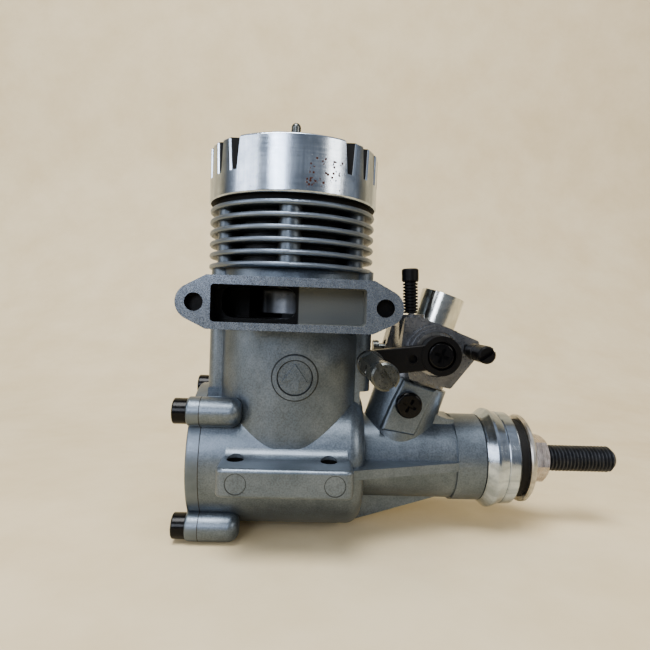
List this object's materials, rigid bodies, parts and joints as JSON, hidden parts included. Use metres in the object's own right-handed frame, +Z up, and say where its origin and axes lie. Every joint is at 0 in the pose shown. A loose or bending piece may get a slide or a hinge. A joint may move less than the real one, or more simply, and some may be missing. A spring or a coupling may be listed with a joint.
{
  "type": "model glow engine",
  "caption": "Side-exhaust model aircraft glow engine with finned cylinder, beam lugs, exhaust flange, tilted carburettor, throttle arm, drive washer and threaded propeller shaft.",
  "frame": {"origin": "centre of the beam lug hole pattern, on the crankshaft axis", "axes": "+X forward along the crankshaft to the propeller, +Y away from the exhaust, +Z up the cylinder"},
  "size_m": [0.106, 0.0621, 0.0966],
  "materials": {
    "cast_aluminium": "bead-blasted casting",
    "gasket_paper": "oiled paper",
    "black_oxide_steel": "black oxide",
    "liner_steel": "ground",
    "polished_aluminium": "turned and polished",
    "copper_shim": "plain",
    "nickel_plated_steel": "nickel plate",
    "insulator_ceramic": "matt",
    "platinum_wire": "plain",
    "piston_alloy": "ground",
    "bright_steel": "ground",
    "rod_alloy": "forged",
    "bush_bronze": "reamed",
    "shaft_steel": "black oxide thread, ground journal",
    "bearing_cage_steel": "pressed",
    "black_fibre": "plain",
    "carb_nickel": "nickel plated casting",
    "o_ring_rubber": "plain",
    "black_plastic": "moulded",
    "nipple_brass": "turned"
  },
  "bodies": {
    "engine": {"crankcase": "cast_aluminium", "backplate": "cast_aluminium", "backplate_gasket": "gasket_paper", "backplate_screws": "black_oxide_steel", "cylinder_liner": "liner_steel", "cylinder_head": "polished_aluminium", "head_gasket": "copper_shim", "head_screws": "black_oxide_steel", "glow_plug_body": "nickel_plated_steel", "glow_plug_washer": "copper_shim", "glow_plug_insulator": "insulator_ceramic", "glow_plug_post": "nickel_plated_steel", "glow_plug_coil": "platinum_wire", "rear_bearing_outer_race": "bright_steel", "front_bearing_outer_race": "bright_steel", "carb_body": "carb_nickel", "intake_cup": "polished_aluminium", "carb_o_ring": "o_ring_rubber", "throttle_stop_screw": "nickel_plated_steel", "fuel_nipple": "nipple_brass", "spray_bar": "nipple_brass", "carb_clamp_screw": "black_oxide_steel"},
    "crank": {"crankshaft": "shaft_steel", "drive_key": "bright_steel", "rear_bearing_inner_race": "bright_steel", "front_bearing_inner_race": "bright_steel", "drive_washer": "polished_aluminium", "drive_spacer": "black_fibre", "prop_washer": "bright_steel", "prop_nut": "bright_steel"},
    "rear_ball_row": {"rear_bearing_balls": "bright_steel", "rear_bearing_cage": "bearing_cage_steel"},
    "front_ball_row": {"front_bearing_balls": "bright_steel", "front_bearing_cage": "bearing_cage_steel"},
    "piston": {"piston": "piston_alloy", "wrist_pin": "bright_steel", "wrist_pin_clips": "bright_steel"},
    "rod": {"connecting_rod": "rod_alloy", "small_end_bush": "bush_bronze", "big_end_bush": "bush_bronze", "crankpin": "bright_steel"},
    "throttle": {"throttle_barrel": "bright_steel", "throttle_arm": "black_plastic", "throttle_arm_screw": "black_oxide_steel"},
    "linkage_connector": {"connector_body": "nickel_plated_steel", "connector_screw": "nickel_plated_steel", "connector_retainer": "black_plastic"},
    "needle": {"needle_knob": "black_plastic", "needle_stem": "bright_steel"},
    "idle": {"idle_screw": "black_plastic"}
  },
  "joints": [
    {"name": "crank_spin", "type": "hinge", "parent": "engine", "child": "crank", "pos_m": [0, 0, 0], "axis": [1, 0, 0], "continuous": true},
    {"name": "rear_balls_roll", "type": "hinge", "parent": "engine", "child": "rear_ball_row", "pos_m": [0.0131, 0, 0], "axis": [1, 0, 0], "continuous": true},
    {"name": "front_balls_roll", "type": "hinge", "parent": "engine", "child": "front_ball_row", "pos_m": [0.0438, 0, 0], "axis": [1, 0, 0], "continuous": true},
    {"name": "piston_stroke", "type": "slide", "parent": "engine", "child": "piston", "axis": [0, 0, 1], "range_m": [-0.0188, 0]},
    {"name": "rod_swing", "type": "hinge", "parent": "piston", "child": "rod", "pos_m": [0, 0, 0.0435], "axis": [1, 0, 0], "range_deg": [-7, 7]},
    {"name": "throttle_turn", "type": "hinge", "parent": "engine", "child": "throttle", "pos_m": [0.0332, -0.011, 0.0261], "axis": [0, -1, 0], "range_deg": [0, 80]},
    {"name": "connector_swivel", "type": "hinge", "parent": "throttle", "child": "linkage_connector", "pos_m": [0.01795, -0.0156, 0.02396], "axis": [0, -1, 0], "continuous": true},
    {"name": "needle_turn", "type": "hinge", "parent": "engine", "child": "needle", "pos_m": [0.0283, -0.007, 0.0347], "axis": [-0.0523, 0, 0.9986], "range_deg": [-540, 720]},
    {"name": "idle_turn", "type": "hinge", "parent": "engine", "child": "idle", "pos_m": [0.0405, -0.013, 0.0272], "axis": [0, -1, 0], "range_deg": [-360, 360]}
  ],
  "couplings": [
    {"joint": "rear_balls_roll", "follows": "crank_spin", "ratio": 0.40698},
    {"joint": "front_balls_roll", "follows": "crank_spin", "ratio": 0.39583}
  ]
}
